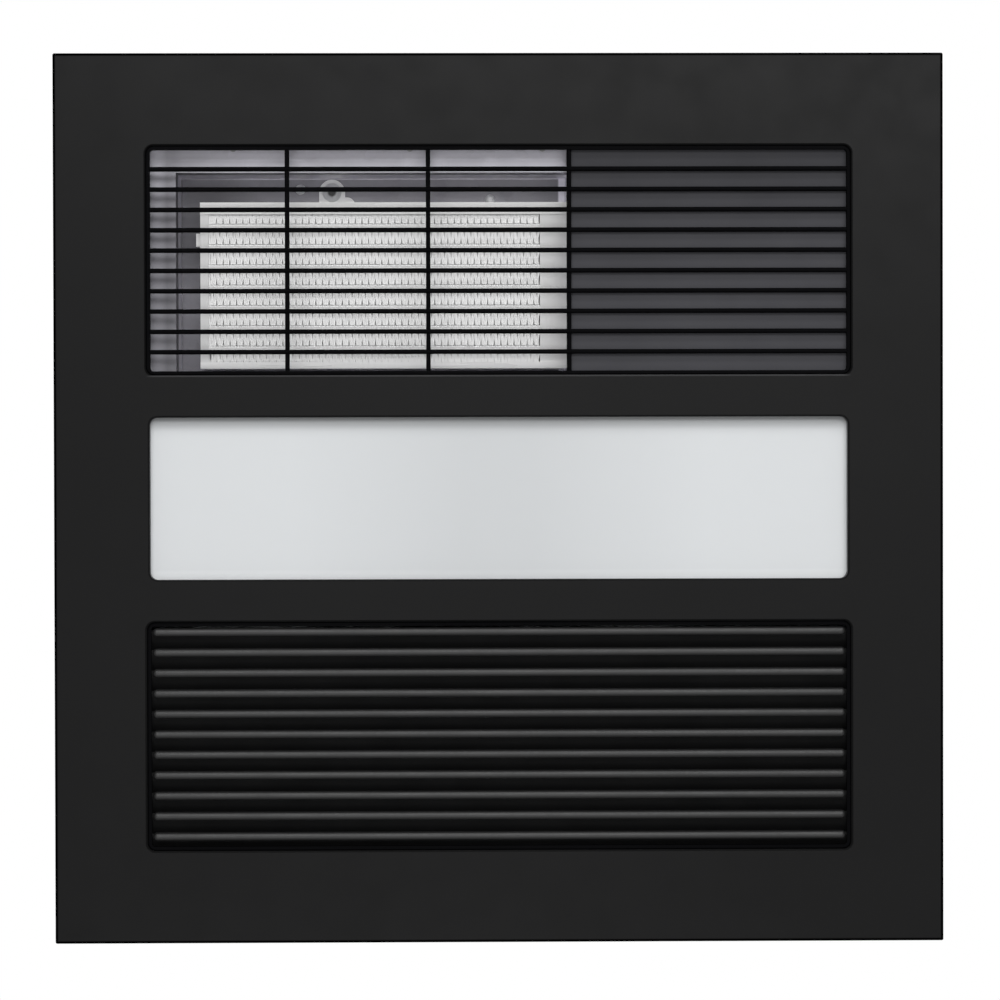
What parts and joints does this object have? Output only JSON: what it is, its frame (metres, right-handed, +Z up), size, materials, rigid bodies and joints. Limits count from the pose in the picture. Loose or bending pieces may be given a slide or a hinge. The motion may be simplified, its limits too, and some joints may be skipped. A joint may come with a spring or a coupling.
{
  "type": "bathroom heater exhaust fan",
  "caption": "Square ceiling unit with a finned heater behind a barred grille, an opal light panel, a slatted air intake and a ducted centrifugal blower.",
  "frame": {"origin": "middle of the four ceiling screws, in the plane of the ceiling (top face of the flange)", "axes": "+Z up into the roof space, the face looks down; the heater outlet and the duct are at the -Y end and the air intake at the +Y end"},
  "size_m": [0.4, 0.405, 0.2],
  "materials": {
    "fascia_black": "semi-matt moulded black",
    "grille_black": "semi-matt moulded black, darker",
    "louvre_black": "satin moulded black",
    "slate_plate": "dark grey paint",
    "opal_acrylic": "frosted opal",
    "white_steel": "white paint",
    "circuit_white": "white solder mask",
    "led_yellow": "phosphor yellow",
    "bright_zinc": "zinc plated fasteners",
    "galvanised": "galvanised sheet",
    "duct_steel": "heat tinted galvanised sheet",
    "spring_steel": "oiled spring steel",
    "bright_aluminium": "bright rolled aluminium",
    "end_cap_grey": "light grey heat resistant moulding",
    "tin_brass": "brass",
    "bakelite": "dark phenolic",
    "ivory_plastic": "ivory moulding",
    "duct_plastic": "dark grey moulding",
    "foam": "closed cell foam",
    "grommet_rubber": "soft rubber",
    "motor_paint": "black stoved paint",
    "laminations": "stacked electrical steel",
    "copper_wire": "enamelled copper",
    "box_plastic": "grey moulding"
  },
  "bodies": {
    "housing": {"housing_shell": "galvanised", "fascia_clips": "spring_steel", "pop_rivets": "bright_zinc", "heater_gasket": "foam", "heater_duct": "duct_steel", "ptc_frame": "bright_aluminium", "ptc_tubes": "bright_aluminium", "ptc_fins": "bright_aluminium", "ptc_end_caps": "end_cap_grey", "ptc_terminals": "tin_brass", "ptc_screws": "bright_zinc", "thermostat": "bakelite", "thermal_fuse": "ivory_plastic", "divider_panel": "galvanised", "service_cover": "galvanised", "body_screws": "bright_zinc", "cover_screws": "bright_zinc", "air_chamber": "duct_plastic", "diverter_seal": "foam", "diverter_bushes": "ivory_plastic", "swing_motor": "bright_zinc", "scroll_casing": "galvanised", "inlet_ring": "galvanised", "scroll_pillars": "bright_zinc", "blower_screws": "bright_zinc", "motor_plate": "galvanised", "motor_grommets": "grommet_rubber", "motor_screws": "bright_zinc", "motor_bracket": "motor_paint", "motor_cover": "motor_paint", "motor_stator": "laminations", "motor_windings": "copper_wire", "motor_bearings": "tin_brass", "duct_gasket": "foam", "duct_spigot": "duct_plastic", "flap_pin": "bright_zinc", "terminal_box": "box_plastic", "terminal_cover": "box_plastic", "terminal_block": "ivory_plastic", "cable_gland": "grille_black", "led_driver": "ivory_plastic", "motor_capacitor": "ivory_plastic", "earth_screw": "tin_brass"},
    "fascia": {"fascia_frame": "fascia_black", "heater_grille": "grille_black", "blanking_plate": "slate_plate", "intake_louvre": "louvre_black", "light_diffuser": "opal_acrylic", "light_tray": "white_steel", "led_board": "circuit_white", "led_chips": "led_yellow", "tray_screws": "bright_zinc"},
    "blower": {"impeller": "galvanised", "impeller_nut": "tin_brass", "motor_shaft": "bright_zinc", "motor_rotor": "laminations"},
    "diverter": {"diverter_flap": "galvanised", "diverter_shaft": "bright_zinc"},
    "left_shutter": {"backdraft_flap_left": "duct_plastic"},
    "right_shutter": {"backdraft_flap_right": "duct_plastic"}
  },
  "joints": [
    {"name": "fascia_drop", "type": "slide", "parent": "housing", "child": "fascia", "axis": [0, 0, -1], "range_m": [0, 0.03]},
    {"name": "impeller_spin", "type": "hinge", "parent": "housing", "child": "blower", "pos_m": [-0.02, 0.048, 0.09], "axis": [0, 0, 1], "continuous": true},
    {"name": "diverter_swing", "type": "hinge", "parent": "housing", "child": "diverter", "pos_m": [-0.058, -0.1565, 0.041], "axis": [1, 0, 0], "range_deg": [0, 89]},
    {"name": "left_shutter_swing", "type": "hinge", "parent": "housing", "child": "left_shutter", "pos_m": [-0.063, -0.1813, 0.095], "axis": [0, 0, 1], "range_deg": [0, 75], "stiffness_Nm_per_rad": 0.004, "springref_deg": -11.46},
    {"name": "right_shutter_swing", "type": "hinge", "parent": "housing", "child": "right_shutter", "pos_m": [-0.055, -0.1813, 0.095], "axis": [0, 0, -1], "range_deg": [0, 75], "stiffness_Nm_per_rad": 0.004, "springref_deg": -11.46}
  ]
}
